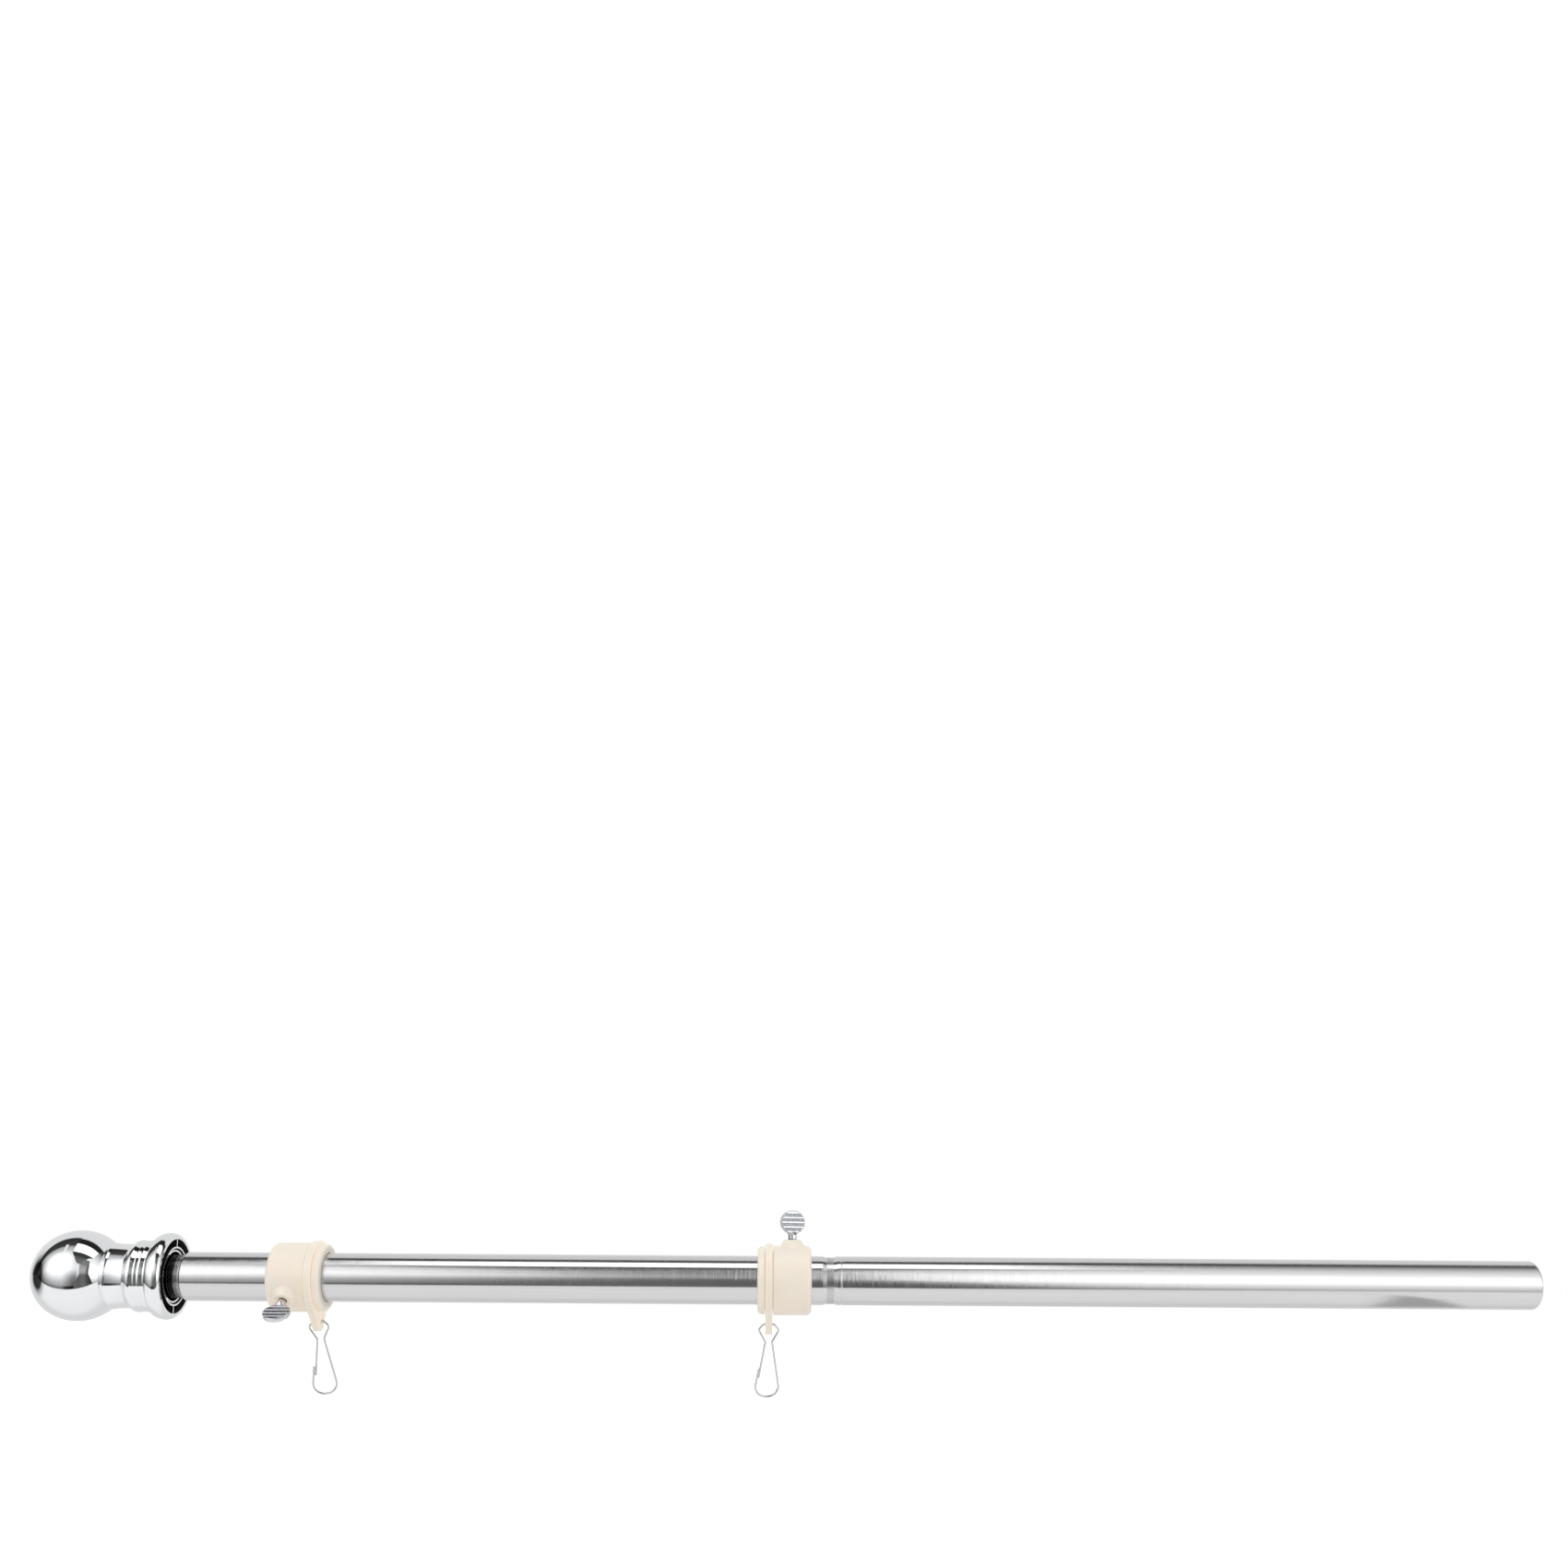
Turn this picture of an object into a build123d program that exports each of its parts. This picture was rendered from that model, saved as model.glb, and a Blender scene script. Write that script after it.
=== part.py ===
from build123d import *
from math import radians, sqrt, tan
import os

# A hand or bracket held flagpole of two polished steel tubes, with a ball
# finial and two flag rings. Each ring is a collar that a thumbscrew locks on
# the pole, with a swivel that turns on the collar's hub and carries a wire hook.
#
# Frame, in millimetres: the origin is the middle of the open butt end, +X is
# the pole's axis and points out of the butt, so the finial lies at -X. +Z is up,
# the hooks hang towards -Z and a little back, and -Y is the side that faces the viewer.

# Pole
tube_diameter = 25.4
tube_wall = 0.8
butt_curl = 1.5  # outer radius of the wall where it rolls in at the butt
butt_lip = 0.6  # flat width of the rolled-in rim
lower_length = 366.5
shoulder_length = 2.2  # taper at each tube mouth beside the joint
shoulder_drop = 0.5  # how much the radius falls over that taper
seam_from_mouth = 3.6  # pressed ring in the lower tube, from its mouth
seam_width = 0.9
seam_depth = 0.2
joint_gap = 3.6
joint_neck_diameter = 24.2
joint_spigot_length = 28.0
joint_wall = 1.4
joint_clearance = 0.05
upper_span = 341.1  # from the upper tube's mouth at the joint to the finial's rim
upper_setback = 6.9  # from the finial's rim to the tube's end, where the plug shows

# Finial: depths run from its open rim towards the ball
ball_diameter = 47.4
ball_wall = 1.8
ball_seat_drop = 17.5  # from the ball's centre to the flat it sits on
ball_spigot_length = 6.0
ball_spigot_gap = 1.1  # between the spigot and the sleeve's floor
ball_spigot_wall = 1.5
neck_radius = 16.65
neck_ring_rise = 0.4
neck_ring_setback = 1.6  # from the neck's end to the ring's crown
neck_ring_width = 2.2
bead_radius = 18.8
bead_front_depth = 21.7  # where the bead rises from the barrel
bead_crown_depth = 19.8
bevel_angle = 30.0  # degrees, of the bead's back and of the two steps behind it
bead_bevel_depth = 19.2  # where the bead's round crown runs out in to its bevel
bead_end_depth = 18.1
step_height = 0.35  # length along the pole of each step's steep front
step_crest_depths = (17.2, 14.6)
step_end_depths = (16.2, 13.1)
valley_radius = 17.85
flare_start_depth = 11.4
flare_lift = 0.4  # how far the flare starts above the last valley
flare_radius = 22.7
flare_end_depth = 5.0
rim_bend = 5.9  # radius of the curve from the flare's end in to the lip
rim_flat = 0.5
cup_wall = 1.8
cup_cavity_depth = 11.0
barrel_bore_radius = 15.3
web_count = 4
web_thickness = 0.8
web_recess = 0.8  # how far the webs and the sleeve stand back from the rim
web_root = 0.3  # how far the webs go in to the cup's wall
sleeve_radius = 16.6
sleeve_mouth_radius = 13.3
sleeve_mouth_depth = 9.0
sleeve_floor = 1.5
socket_depth = 24.0  # how far the plug goes in past the rim
seat_clearance = 0.05
plug_diameter = 22.4
plug_wall = 1.2
plug_spigot_length = 14.0  # inside the tube
plug_groove_count = 5
plug_groove_pitch = 1.6
plug_groove_radius = 0.35

# Flag rings: stations run from a collar's outer end towards its swivel
lower_ring_setback = 8.0  # from the upper tube's mouth to the lower collar
upper_ring_setback = 52.2  # from the finial's rim to the upper collar
collar_length = 19.7
collar_diameter = 36.0
collar_round = 2.6
collar_edge = 0.4
collar_bore = 26.6
hub_diameter = 31.0
swivel_thickness = 3.8
swivel_gap = 0.35  # running gap on each face of the swivel
swivel_clearance = 0.25
swivel_diameter = 38.0
swivel_round = 0.7
flange_thickness = 3.7
flange_diameter = 35.2
flange_round = 2.0
flange_seat_diameter = 29.4
tab_reach = 28.8  # from the pole's axis to the tab's tip
tab_tip_radius = 5.4
eye_reach = 23.4
eye_clearance = 0.25
boss_base_diameter = 14.6
boss_top_diameter = 9.0
boss_reach = 21.2
boss_round = 0.9
boss_foot_round = 1.2  # where the boss flows into the body
boss_recess_diameter = 5.8
boss_recess_depth = 1.4

# Thumbscrews: heights run from the pole's axis
screw_diameter = 4.0
screw_clearance = 0.08
screw_tip_gap = 0.15
neck_diameter = 4.6
neck_floor_gap = 0.3
head_reach = 30.4
head_width = 13.8
head_height = 12.3
head_thickness = 2.6
head_edge = 0.5
head_root_width = 9.0
head_root_rise = 2.2
head_root_thickness = 1.2
groove_count = 4
groove_pitch = 2.5
groove_radius = 0.85
groove_depth = 0.6
lower_screw_turn = 25.0  # degrees about its own axis
upper_screw_turn = 0.0
lower_screw_lean = 0.0  # degrees from straight up, towards the viewer
upper_screw_lean = 127.0

# The pole was laid down on the +Y side, so both tabs and hooks lie back from plumb
tab_swing = 12.0  # degrees about the pole
hook_swing = 20.0  # degrees, about the eye

# Wire hooks, from the eye: across along X, and down
wire_diameter = 1.15
upper_hook_lean = 4.0  # degrees, out of plumb in the eye towards the butt
lower_hook_lean = 0.0
eye_half_width = 2.75
head_half_width = 5.45
head_drop = 3.1
hook_neck_half_gap = 1.75
hook_neck_drop = 10.0
bottom_drop = 40.6
right_across = 6.0
left_across = 8.05
gate_end_across = 5.35
gate_end_drop = 30.2
catch_end_across = 5.2
catch_end_drop = 24.8
catch_front = 1.35  # how far the catch stands in front of the gate
eye_bend = 1.0
head_bend = 2.2
neck_bend = 1.6
bottom_bend = 5.6

tube_radius = tube_diameter / 2
tube_bore = tube_radius - tube_wall
lower_mouth = -lower_length
upper_mouth = lower_mouth - joint_gap
rim = upper_mouth - upper_span
tube_end = rim + upper_setback
plug_seat = rim - socket_depth
neck_end_depth = socket_depth + sleeve_floor + ball_spigot_gap + ball_spigot_length
neck_end = rim - neck_end_depth
ball_centre = neck_end - ball_seat_drop
hub_radius = hub_diameter / 2
hub_length = swivel_thickness + 2 * swivel_gap
flange_station = collar_length + hub_length
swivel_station = collar_length + swivel_gap


def turned(*pieces):
    """Turn a closed outline, drawn as (x, radius), about the pole's axis."""
    edges = [edge for piece in pieces for edge in piece.edges()]
    return revolve(make_face(edges), Axis.X)


def rod(start, end, radius):
    """A round bar on the pole's axis between two stations."""
    bar = Cylinder(radius, abs(end - start), rotation=(0, 90, 0))
    return Pos((start + end) / 2, 0, 0) * bar


def corner(centre, start, end):
    """The short arc from start to end about a centre."""
    hub = Vector(*centre)
    middle = (Vector(*start) + Vector(*end)) / 2 - hub
    radius = (Vector(*start) - hub).length
    return ThreePointArc(start, hub + middle.normalized() * radius, end)


def lower_tube():
    lip = tube_radius - butt_curl
    inside = butt_curl - tube_wall
    seam = lower_mouth + seam_from_mouth
    curl = (-butt_curl, lip)
    return turned(
        Line((-butt_curl, tube_radius), (seam + seam_width, tube_radius)),
        ThreePointArc(
            (seam + seam_width, tube_radius),
            (seam + seam_width / 2, tube_radius - seam_depth),
            (seam, tube_radius),
        ),
        Polyline(
            (seam, tube_radius),
            (lower_mouth + shoulder_length, tube_radius),
            (lower_mouth, tube_radius - shoulder_drop),
            (lower_mouth, tube_bore - shoulder_drop),
            (lower_mouth + shoulder_length, tube_bore),
            (-butt_curl, tube_bore),
        ),
        corner(curl, (-butt_curl, tube_bore), (inside - butt_curl, lip)),
        Polyline(
            (inside - butt_curl, lip),
            (inside - butt_curl, lip - butt_lip),
            (0, lip - butt_lip),
            (0, lip),
        ),
        corner(curl, (0, lip), (-butt_curl, tube_radius)),
    )


def upper_tube():
    return turned(
        Polyline(
            (upper_mouth, tube_radius - shoulder_drop),
            (upper_mouth - shoulder_length, tube_radius),
            (tube_end, tube_radius),
            (tube_end, tube_bore),
            (upper_mouth - shoulder_length, tube_bore),
            (upper_mouth, tube_bore - shoulder_drop),
            (upper_mouth, tube_radius - shoulder_drop),
        )
    )


def joint_ferrule():
    """The plug inside both tubes, whose neck shows between their mouths."""
    spigot = tube_bore - shoulder_drop - joint_clearance
    start = lower_mouth + joint_spigot_length
    end = upper_mouth - joint_spigot_length
    plug = rod(start, end, spigot) + rod(lower_mouth, upper_mouth, joint_neck_diameter / 2)
    return plug - rod(start, end, spigot - joint_wall)


def finial_ball():
    """A hollow ball, cut flat where it sits on the neck, with a spigot into it."""
    radius = ball_diameter / 2
    inside = radius - ball_wall
    pipe = barrel_bore_radius - seat_clearance
    pipe_bore = pipe - ball_spigot_wall
    seat_radius = sqrt(radius**2 - (neck_end - ball_centre) ** 2)
    mouth = ball_centre + sqrt(inside**2 - pipe_bore**2)
    end = neck_end + ball_spigot_length
    centre = (ball_centre, 0)
    return turned(
        corner(centre, (neck_end, seat_radius), (ball_centre - radius, 0)),
        Line((ball_centre - radius, 0), (ball_centre - inside, 0)),
        corner(centre, (ball_centre - inside, 0), (mouth, pipe_bore)),
        Polyline(
            (mouth, pipe_bore),
            (end, pipe_bore),
            (end, pipe),
            (neck_end, pipe),
            (neck_end, seat_radius),
        ),
    )


def cup_cavity_radius():
    """Inner radius of the cup at the floor of its cavity."""
    return valley_radius + flare_lift - cup_wall / 3


def finial_cup():
    """Neck, bead and flared skirt in one, with webs that hold the inner sleeve."""
    ring = neck_ring_width / 2
    ring_depth = neck_end_depth - neck_ring_setback
    bevel = tan(radians(bevel_angle))
    bend_centre = flare_radius - rim_bend
    lip = bend_centre + sqrt(rim_bend**2 - flare_end_depth**2)
    inner_rim = lip - rim_flat

    def at(depth, radius):
        return (rim - depth, radius)

    bevel_start = at(bead_bevel_depth, valley_radius + (bead_bevel_depth - bead_end_depth) * bevel)
    outside = [
        Polyline(
            at(neck_end_depth, barrel_bore_radius),
            at(neck_end_depth, neck_radius),
            at(ring_depth + ring, neck_radius),
        ),
        ThreePointArc(
            at(ring_depth + ring, neck_radius),
            at(ring_depth, neck_radius + neck_ring_rise),
            at(ring_depth - ring, neck_radius),
        ),
        Line(at(ring_depth - ring, neck_radius), at(bead_front_depth, neck_radius)),
        Spline(
            at(bead_front_depth, neck_radius),
            at(bead_crown_depth, bead_radius),
            tangents=[(1, 1.6), (1, 0)],
        ),
        Spline(at(bead_crown_depth, bead_radius), bevel_start, tangents=[(1, 0), (1, -bevel)]),
        Line(bevel_start, at(bead_end_depth, valley_radius)),
        Polyline(
            at(step_end_depths[-1], valley_radius),
            at(flare_start_depth, valley_radius),
            at(flare_start_depth, valley_radius + flare_lift),
        ),
        Spline(
            at(flare_start_depth, valley_radius + flare_lift),
            at(flare_end_depth, flare_radius),
            tangents=[(1, 1.3), (1, 0)],
        ),
        corner(at(flare_end_depth, bend_centre), at(flare_end_depth, flare_radius), at(0, lip)),
    ]
    last_end = bead_end_depth
    for crest, end in zip(step_crest_depths, step_end_depths):
        step = Polyline(
            at(last_end, valley_radius),
            at(crest + step_height, valley_radius),
            at(crest, valley_radius + (crest - end) * bevel),
            at(end, valley_radius),
        )
        outside.append(step)
        last_end = end
    inside = Polyline(
        at(0, lip),
        at(0, inner_rim),
        at(cup_cavity_depth, cup_cavity_radius()),
        at(cup_cavity_depth, barrel_bore_radius),
        at(neck_end_depth, barrel_bore_radius),
    )
    cup = turned(*outside, inside)
    foot = sleeve_radius + seat_clearance
    slope = (inner_rim - cup_cavity_radius()) / cup_cavity_depth
    web_outline = Polyline(
        at(web_recess, foot),
        at(web_recess, inner_rim - slope * web_recess + web_root),
        at(cup_cavity_depth + web_root, cup_cavity_radius() + web_root),
        at(cup_cavity_depth + web_root, foot),
        close=True,
    )
    web = extrude(Plane.XZ * make_face(web_outline), web_thickness / 2, both=True)
    for index in range(web_count):
        cup += Rot(index * 360 / web_count, 0, 0) * web
    return cup


def finial_sleeve():
    """The socket for the plug: it seats on the cup's inner shoulder."""
    mouth = rim - web_recess
    shoulder = rim - cup_cavity_depth
    end = plug_seat - sleeve_floor
    bore = plug_diameter / 2 + seat_clearance
    sleeve = rod(mouth, shoulder, sleeve_radius)
    sleeve += rod(shoulder, end, barrel_bore_radius - seat_clearance)
    sleeve -= rod(mouth, plug_seat, bore)
    return sleeve - rod(mouth, mouth - sleeve_mouth_depth, sleeve_mouth_radius)


def finial_plug():
    """The grooved plug that holds the tube's end to the finial's socket."""
    neck = plug_diameter / 2
    start = tube_end + plug_spigot_length
    plug = rod(start, tube_end, tube_bore - joint_clearance) + rod(tube_end, plug_seat, neck)
    for index in range(plug_groove_count):
        station = tube_end - (index + 0.5) * plug_groove_pitch
        plug -= Pos(station, 0, 0) * Torus(neck, plug_groove_radius, rotation=(0, 90, 0))
    return plug - rod(start, plug_seat, neck - plug_wall)


def collar():
    """Body, hub and flange seat in one, with the screw's boss on top."""
    outer = collar_diameter / 2
    bore = collar_bore / 2
    seat = flange_seat_diameter / 2
    end = flange_station + flange_thickness
    blank = turned(
        Polyline(
            (collar_round, outer),
            (collar_length - collar_edge, outer),
            (collar_length, outer - collar_edge),
            (collar_length, hub_radius),
            (flange_station, hub_radius),
            (flange_station, seat),
            (end, seat),
            (end, bore),
            (0, bore),
            (0, outer - collar_round),
        ),
        corner((collar_round, outer - collar_round), (0, outer - collar_round), (collar_round, outer)),
    )
    floor = boss_reach - boss_recess_depth
    foot = (bore + outer) / 2
    slope = (boss_base_diameter - boss_top_diameter) / 2
    boss = Cone(
        boss_base_diameter / 2,
        boss_top_diameter / 2,
        boss_reach - foot,
        align=(Align.CENTER, Align.CENTER, Align.MIN),
    )
    boss = fillet(boss.edges().sort_by(Axis.Z)[-1], min(boss_round, slope / 2))
    middle = Pos(collar_length / 2, 0, 0)
    drill = Cylinder(
        screw_diameter / 2 + screw_clearance,
        boss_reach,
        align=(Align.CENTER, Align.CENTER, Align.MIN),
    )
    recess = Pos(0, 0, floor) * Cylinder(
        boss_recess_diameter / 2,
        boss_recess_depth,
        align=(Align.CENTER, Align.CENTER, Align.MIN),
    )
    body = blank + middle * Pos(0, 0, foot) * boss
    seam = body.edges().filter_by(GeomType.BSPLINE).sort_by(Axis.Z)[-1]
    return fillet(seam, boss_foot_round) - middle * (drill + recess)


def flange():
    """The ring that keeps the swivel on the hub."""
    ring = rod(flange_station, flange_station + flange_thickness, flange_diameter / 2)
    ring = fillet(ring.edges().sort_by(Axis.X)[-1], flange_round)
    return ring - rod(
        flange_station,
        flange_station + flange_thickness,
        flange_seat_diameter / 2 + seat_clearance,
    )


def swivel():
    """A ring that runs on the hub, drawn out downwards to a tab with an eye."""
    tip = Pos(0, tab_tip_radius - tab_reach) * Circle(tab_tip_radius)
    plate = make_hull((Circle(swivel_diameter / 2) + tip).edges())
    solid = extrude(Plane.YZ * plate, swivel_thickness)
    solid = fillet(solid.edges(), swivel_round)
    hole = rod(0, swivel_thickness, hub_radius + swivel_clearance)
    eye = rod(0, swivel_thickness, wire_diameter / 2 + eye_clearance)
    return Pos(swivel_station, 0, 0) * (solid - hole - Pos(0, 0, -eye_reach) * eye)


def thumbscrew():
    """A screw with a flat ridged head, standing on the pole's axis along +Z."""
    up = (Align.CENTER, Align.CENTER, Align.MIN)
    tip = tube_radius + screw_tip_gap
    neck = boss_reach - boss_recess_depth + neck_floor_gap
    bottom = head_reach - head_height / 2
    root = bottom + head_root_rise
    disc = extrude(Plane.XZ * Ellipse(head_width / 2, head_height / 2), head_thickness / 2, both=True)
    disc = fillet(disc.edges(), head_edge)
    groove = Cylinder(groove_radius, 2 * head_width, rotation=(0, 90, 0))
    out = head_thickness / 2 - groove_depth + groove_radius
    for index in range(groove_count):
        height = (index - (groove_count - 1) / 2) * groove_pitch
        for side in (-1, 1):
            disc -= Pos(0, side * out, height) * groove
    disc = Pos(0, 0, head_reach) * disc
    foot = bottom - head_edge
    shank = Pos(0, 0, tip) * Cylinder(screw_diameter / 2, neck - tip, align=up)
    stem = Pos(0, 0, neck) * Cylinder(neck_diameter / 2, foot - neck, align=up)
    flare = loft(
        [
            Pos(0, 0, foot) * Circle(neck_diameter / 2),
            Pos(0, 0, root) * Ellipse(head_root_width / 2, head_root_thickness / 2),
        ]
    )
    return disc + flare + stem + shank


def wire_hook():
    """One bent wire: gate, neck, head through the eye, long leg and catch."""
    bends = [
        (-gate_end_across, 0, gate_end_drop),
        (-hook_neck_half_gap, 0, hook_neck_drop),
        (-head_half_width, 0, head_drop),
        (-eye_half_width, 0, 0),
        (eye_half_width, 0, 0),
        (head_half_width, 0, head_drop),
        (hook_neck_half_gap, 0, hook_neck_drop),
        (right_across, 0, bottom_drop),
        (-left_across, catch_front, bottom_drop),
        (-catch_end_across, catch_front, catch_end_drop),
    ]
    radii = [neck_bend, head_bend, eye_bend, eye_bend, head_bend, neck_bend, bottom_bend, bottom_bend]
    path = FilletPolyline(*[(across, -front, -drop) for across, front, drop in bends], radius=radii)
    section = Plane(origin=path @ 0, z_dir=path % 0) * Circle(wire_diameter / 2)
    return sweep(section, path=path)


def flag_ring(name, start, facing, lean, turn, hook_lean):
    """The five pieces of one ring. Facing is +1 where its swivel is nearer the butt."""
    across = 0 if facing > 0 else 180
    along = Pos(start, 0, 0) * Rot(0, 0, across)
    leaned = Pos(start, 0, 0) * Rot(lean, 0, 0) * Rot(0, 0, across)
    hanging = Pos(start, 0, 0) * Rot(tab_swing, 0, 0) * Rot(0, 0, across)
    eye_station = start + facing * (swivel_station + swivel_thickness / 2)
    eye = Pos(eye_station, 0, 0) * Rot(tab_swing, 0, 0) * Pos(0, 0, -eye_reach)
    screw_place = leaned * Pos(collar_length / 2, 0, 0) * Rot(0, 0, turn)
    return {
        f"{name}_collar": leaned * collar(),
        f"{name}_flange": along * flange(),
        f"{name}_swivel": hanging * swivel(),
        f"{name}_thumbscrew": screw_place * thumbscrew(),
        f"{name}_hook": eye * Rot(hook_swing - tab_swing, 0, 0) * Rot(0, -hook_lean, 0) * wire_hook(),
    }


nodes = {
    "lower_tube": lower_tube(),
    "upper_tube": upper_tube(),
    "joint_ferrule": joint_ferrule(),
    "finial_ball": finial_ball(),
    "finial_cup": finial_cup(),
    "finial_sleeve": finial_sleeve(),
    "finial_plug": finial_plug(),
}
upper_start = rim + upper_ring_setback
lower_start = upper_mouth - lower_ring_setback
nodes.update(flag_ring("upper", upper_start, 1, upper_screw_lean, upper_screw_turn, upper_hook_lean))
nodes.update(flag_ring("lower", lower_start, -1, lower_screw_lean, lower_screw_turn, lower_hook_lean))

os.makedirs("parts", exist_ok=True)
for name, solid in nodes.items():
    export_step(solid, f"parts/{name}.step")
    print(name, round(solid.volume, 1))
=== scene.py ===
# %% [markdown]
# A flagpole of two polished steel tubes, about 79 cm long. A hollow plated ball with a turned neck closes
# one end. Two ivory plastic rings are clamped on the tubes, and each carries a wire hook for the flag.
# The model of its pieces, with real sizes and joints, is loaded first and never moved. Everything after
# that is finish and light, apart from two pieces of the finial that are turned again.

# %% Load the measured model
from math import cos, pi, radians, sin

import bmesh
import bpy
from mathutils import Matrix, Vector


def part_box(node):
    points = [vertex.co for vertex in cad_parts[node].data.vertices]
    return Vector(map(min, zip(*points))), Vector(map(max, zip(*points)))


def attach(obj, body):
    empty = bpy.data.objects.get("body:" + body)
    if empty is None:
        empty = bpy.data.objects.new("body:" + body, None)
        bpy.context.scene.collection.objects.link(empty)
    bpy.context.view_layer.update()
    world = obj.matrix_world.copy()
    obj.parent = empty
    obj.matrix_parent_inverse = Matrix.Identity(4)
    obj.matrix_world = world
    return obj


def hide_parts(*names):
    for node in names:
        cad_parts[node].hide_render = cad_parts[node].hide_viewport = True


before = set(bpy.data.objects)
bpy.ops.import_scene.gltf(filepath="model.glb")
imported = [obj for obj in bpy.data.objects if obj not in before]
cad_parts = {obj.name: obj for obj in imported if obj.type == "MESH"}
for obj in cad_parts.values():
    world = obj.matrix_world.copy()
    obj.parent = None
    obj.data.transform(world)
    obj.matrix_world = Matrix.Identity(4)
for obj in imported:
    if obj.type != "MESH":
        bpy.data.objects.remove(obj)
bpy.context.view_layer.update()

# %% [markdown]
# The photograph looks at the pole from the side, from about 75 cm away, with the pole low in a square
# frame. A camera that only looked straight ahead would need a large lens shift for that. Part of the way
# is done by tilting it up, as a hand-held camera would be, and the shift does the rest. The horizon leans
# a little.

# %% Camera
photo_size = 1700
focal_length = 1537.4 / photo_size
sensor_width = 36
camera_place = Vector((-0.397, -0.750, 0.0))
tilt_up = radians(7.3)
lean = radians(0.39)
side_shift = 0.0050
rise_shift = 0.2007

camera = bpy.data.objects.new("camera", bpy.data.cameras.new("camera"))
camera.data.sensor_width = sensor_width
camera.data.lens = focal_length * sensor_width
camera.data.shift_x = side_shift
camera.data.shift_y = rise_shift
camera.data.clip_start = 0.01
camera.location = camera_place
turned_up = Matrix.Rotation(radians(90) + tilt_up, 3, "X")
camera.rotation_euler = (turned_up @ Matrix.Rotation(lean, 3, "Z")).to_euler()
bpy.context.scene.collection.objects.link(camera)
bpy.context.scene.camera = camera
bpy.context.scene.view_settings.view_transform = "Standard"
print("lens", round(camera.data.lens, 2), "mm")

# %% [markdown]
# Shaders are graphs of nodes. Wiring them by hand is hard to read, so two small classes make them read
# like sums. The first is a Signal: one socket, on which arithmetic adds Math nodes. Python asks the
# right-hand value when the left-hand one is a plain number, so 1 - mask needs a reflected form of each
# operator.

# %% Arithmetic on sockets
class Signal:
    """One output socket that can be used in a sum."""

    def __init__(self, board, socket):
        self.board = board
        self.socket = socket

    def math(self, operation, *values):
        return self.board.node("ShaderNodeMath", {"operation": operation}, dict(enumerate(values)))

    def __add__(self, other):
        return self.math("ADD", self, other)

    def __radd__(self, other):
        return self.math("ADD", other, self)

    def __sub__(self, other):
        return self.math("SUBTRACT", self, other)

    def __rsub__(self, other):
        return self.math("SUBTRACT", other, self)

    def __mul__(self, other):
        return self.math("MULTIPLY", self, other)

    def __rmul__(self, other):
        return self.math("MULTIPLY", other, self)

    def __truediv__(self, other):
        return self.math("DIVIDE", self, other)

    def __pow__(self, other):
        return self.math("POWER", self, other)


# %% [markdown]
# Two chores come up with many nodes. A plain number on a colour socket has to be spread over its
# channels, and a colour ramp comes with two stops of its own that have to make room for the wanted ones.

# %% Values of sockets and ramps
def is_grey(socket, value):
    """Whether a plain number has to be spread over a colour socket."""
    return socket.type == "RGBA" and isinstance(value, (int, float))


def set_stops(ramp, stops):
    """Give a colour ramp these (place, value) stops, where a value is a number or a colour."""
    while len(ramp.elements) > 1:
        ramp.elements.remove(ramp.elements[-1])
    for index, (place, value) in enumerate(stops):
        stop = ramp.elements[0] if index == 0 else ramp.elements.new(place)
        stop.position = place
        stop.color = (*value, 1.0) if isinstance(value, tuple) else (value, value, value, 1.0)


# %% [markdown]
# The second class is a Board: one graph. Its node method adds any other kind of node. Settings go in
# first, because some of them change which sockets a node has, and then the values or links of its
# sockets. The noise method has a scale for each axis, so that one method makes clouds, grain and rings
# alike.

# %% Boards of nodes
class Board:
    """One graph of shader nodes."""

    def __init__(self, tree):
        self.tree = tree

    def node(self, kind, settings=None, sockets=None, output=0):
        """Add a node of this kind, give it settings and then sockets, and return one of its outputs."""
        made = self.tree.nodes.new(kind)
        for name, value in (settings or {}).items():
            if name == "stops":
                set_stops(made.color_ramp, value)
            else:
                setattr(made, name, value)
        for name, value in (sockets or {}).items():
            socket = made.inputs[name]
            if isinstance(value, Signal):
                self.tree.links.new(value.socket, socket)
            else:
                socket.default_value = (value, value, value, 1.0) if is_grey(socket, value) else value
        return Signal(self, made.outputs[output])

    def show(self, surface, kind="ShaderNodeOutputMaterial"):
        """Send a surface to the graph's output."""
        out = self.tree.nodes.new(kind)
        self.tree.links.new(surface.socket, out.inputs["Surface"])

    def axes(self):
        """The three coordinates of a point on the piece, in metres."""
        place = self.node("ShaderNodeTexCoord", output="Object")
        return [self.node("ShaderNodeSeparateXYZ", sockets={0: place}, output=i) for i in range(3)]

    def ramp(self, value, stops):
        """A curve of values or colours through (place, value) pairs, with places from 0 to 1."""
        return self.node("ShaderNodeValToRGB", {"stops": stops}, {0: value})

    def noise(self, scales, detail=3.0, rough=0.5):
        """Soft random grey, with its own scale along each axis in cells per metre."""
        place = self.node("ShaderNodeTexCoord", output="Object")
        spread = self.node("ShaderNodeVectorMath", {"operation": "MULTIPLY"}, {0: place, 1: scales})
        values = {"Vector": spread, "Scale": 1.0, "Detail": detail, "Roughness": rough}
        return self.node("ShaderNodeTexNoise", sockets=values)


# %% [markdown]
# Marks on a surface often lie between two places, such as a dark band near an edge. A hard edge would
# look printed on, so a step rises softly, and a band is a step up times a step down. Blend goes from one
# value to another by such a share.

# %% Steps and bands
def step(value, start, end):
    """0 up to the start and 1 from the end on, with a soft slope between."""
    settings = {"interpolation_type": "SMOOTHSTEP"}
    sockets = {"Value": value, "From Min": start, "From Max": end}
    return value.board.node("ShaderNodeMapRange", settings, sockets)


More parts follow.
